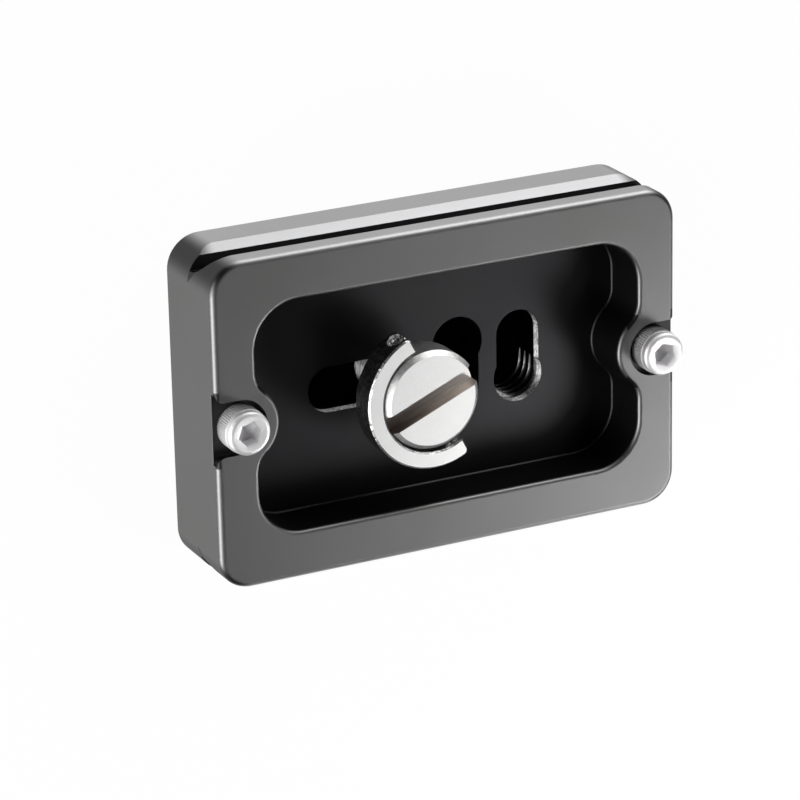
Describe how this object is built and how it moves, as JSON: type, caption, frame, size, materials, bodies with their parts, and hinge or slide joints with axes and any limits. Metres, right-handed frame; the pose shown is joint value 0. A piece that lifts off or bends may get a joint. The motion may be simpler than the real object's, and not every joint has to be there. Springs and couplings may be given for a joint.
{
  "type": "tripod quick release plate",
  "caption": "Dovetail plate with a bone-shaped pocket holding a captive slotted camera screw with a folding ring, plus socket-head stop screws at the ends.",
  "frame": {"origin": "on the table under the middle of the plate, level with the faces of the grip pads on the camera side", "axes": "+X along the plate's length and the dovetail, +Y across its width, +Z out of the pocket, away from the camera"},
  "size_m": [0.06, 0.0398, 0.0154],
  "materials": {
    "anodised_plate": "satin black anodised",
    "grip_rubber": "matte ribbed",
    "stop_screw_steel": "bright, serrated rim",
    "camera_screw_steel": "turned, satin",
    "ring_steel": "tumbled, satin",
    "pin_steel": "riveted end"
  },
  "bodies": {
    "plate": {"plate_body": "anodised_plate", "grip_pad_left": "grip_rubber", "grip_pad_right": "grip_rubber", "stop_screw_left": "stop_screw_steel", "stop_screw_right": "stop_screw_steel"},
    "screw": {"camera_screw": "camera_screw_steel", "ring_pin_upper": "pin_steel", "ring_pin_lower": "pin_steel"},
    "ring": {"folding_ring": "ring_steel"}
  },
  "joints": [
    {"name": "camera_screw_turn", "type": "hinge", "parent": "plate", "child": "screw", "pos_m": [-0.0036, -0.00015, 0.0088], "axis": [0, 0, 1], "continuous": true},
    {"name": "ring_fold", "type": "hinge", "parent": "screw", "child": "ring", "pos_m": [-0.0036, -0.00015, 0.0135], "axis": [-0.4415, 0.8973, 0], "range_deg": [0, 180]}
  ]
}
